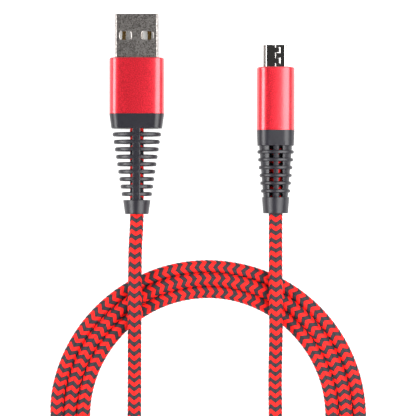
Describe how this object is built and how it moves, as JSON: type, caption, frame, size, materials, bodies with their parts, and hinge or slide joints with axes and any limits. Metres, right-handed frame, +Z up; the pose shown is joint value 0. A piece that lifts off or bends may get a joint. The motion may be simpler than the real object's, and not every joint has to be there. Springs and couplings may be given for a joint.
{
  "type": "charging cable",
  "caption": "Braided charging cable with a wide host plug and a small phone plug, ribbed strain reliefs, wound in a round coil.",
  "frame": {"origin": "under the middle of the two plugs, on the surface that the cable lies on", "axes": "+Z up from that surface, +Y the way both plugs point, +X from the host plug to the phone plug"},
  "size_m": [0.088, 0.1552, 0.0089],
  "materials": {
    "braid": "red and black braided polyester yarn",
    "plug_metal": "nickel-plated, satin",
    "sleeve_red": "red anodised, satin",
    "boot_rubber": "matte moulded elastomer",
    "insulator_white": "moulded",
    "insulator_black": "moulded",
    "contact_gold": "gold-plated",
    "spring_steel": "stamped spring steel",
    "liner_plastic": "moulded",
    "crimp_metal": "folded band",
    "solder": "tin",
    "wire_red": "extruded insulation",
    "wire_white": "extruded insulation",
    "wire_green": "extruded insulation",
    "wire_black": "extruded insulation"
  },
  "bodies": {
    "cord": {"cord_lead_host": "braid", "cord_coil": "braid", "cord_lead_phone": "braid"},
    "host_plug": {"cord_end_host": "braid", "host_boot": "boot_rubber", "host_contact_data_minus": "contact_gold", "host_contact_data_plus": "contact_gold", "host_contact_ground": "contact_gold", "host_contact_power": "contact_gold", "host_crimp": "crimp_metal", "host_inner_mould": "liner_plastic", "host_insulator": "insulator_white", "host_shell": "plug_metal", "host_sleeve": "sleeve_red", "host_solder": "solder", "host_wire_black": "wire_black", "host_wire_green": "wire_green", "host_wire_red": "wire_red", "host_wire_white": "wire_white"},
    "phone_plug": {"cord_end_phone": "braid", "phone_boot": "boot_rubber", "phone_contact_feet": "contact_gold", "phone_crimp": "crimp_metal", "phone_inner_mould": "liner_plastic", "phone_insulator": "insulator_black", "phone_shell": "plug_metal", "phone_sleeve": "sleeve_red", "phone_solder": "solder", "phone_wire_black": "wire_black", "phone_wire_green": "wire_green", "phone_wire_red": "wire_red", "phone_wire_white": "wire_white"},
    "phone_springs": {"phone_contact_data_minus": "contact_gold", "phone_contact_data_plus": "contact_gold", "phone_contact_ground": "contact_gold", "phone_contact_id": "contact_gold", "phone_contact_power": "contact_gold"},
    "latch_left": {"phone_latch_left": "spring_steel"},
    "latch_right": {"phone_latch_right": "spring_steel"}
  },
  "joints": [
    {"name": "host_bend", "type": "hinge", "parent": "cord", "child": "host_plug", "pos_m": [-0.01795, -0.01376, 0.0039], "axis": [0, 0, 1], "range_deg": [-40, 40], "stiffness_Nm_per_rad": 0.02, "deforming": ["host_boot", "cord_end_host"]},
    {"name": "phone_bend", "type": "hinge", "parent": "cord", "child": "phone_plug", "pos_m": [0.02028, -0.01574, 0.0039], "axis": [0, 0, 1], "range_deg": [-40, 40], "stiffness_Nm_per_rad": 0.015, "deforming": ["phone_boot", "cord_end_phone"]},
    {"name": "contact_press", "type": "hinge", "parent": "phone_plug", "child": "phone_springs", "pos_m": [0.02028, 0.01022, 0.00422], "axis": [1, 0, 0], "range_deg": [0, 1.3], "stiffness_Nm_per_rad": 0.02},
    {"name": "latch_left_press", "type": "hinge", "parent": "phone_plug", "child": "latch_left", "pos_m": [0.01808, 0.00952, 0.00338], "axis": [1, 0, 0], "range_deg": [0, 2.3], "stiffness_Nm_per_rad": 0.02},
    {"name": "latch_right_press", "type": "hinge", "parent": "phone_plug", "child": "latch_right", "pos_m": [0.02248, 0.00952, 0.00338], "axis": [1, 0, 0], "range_deg": [0, 2.3], "stiffness_Nm_per_rad": 0.02}
  ]
}
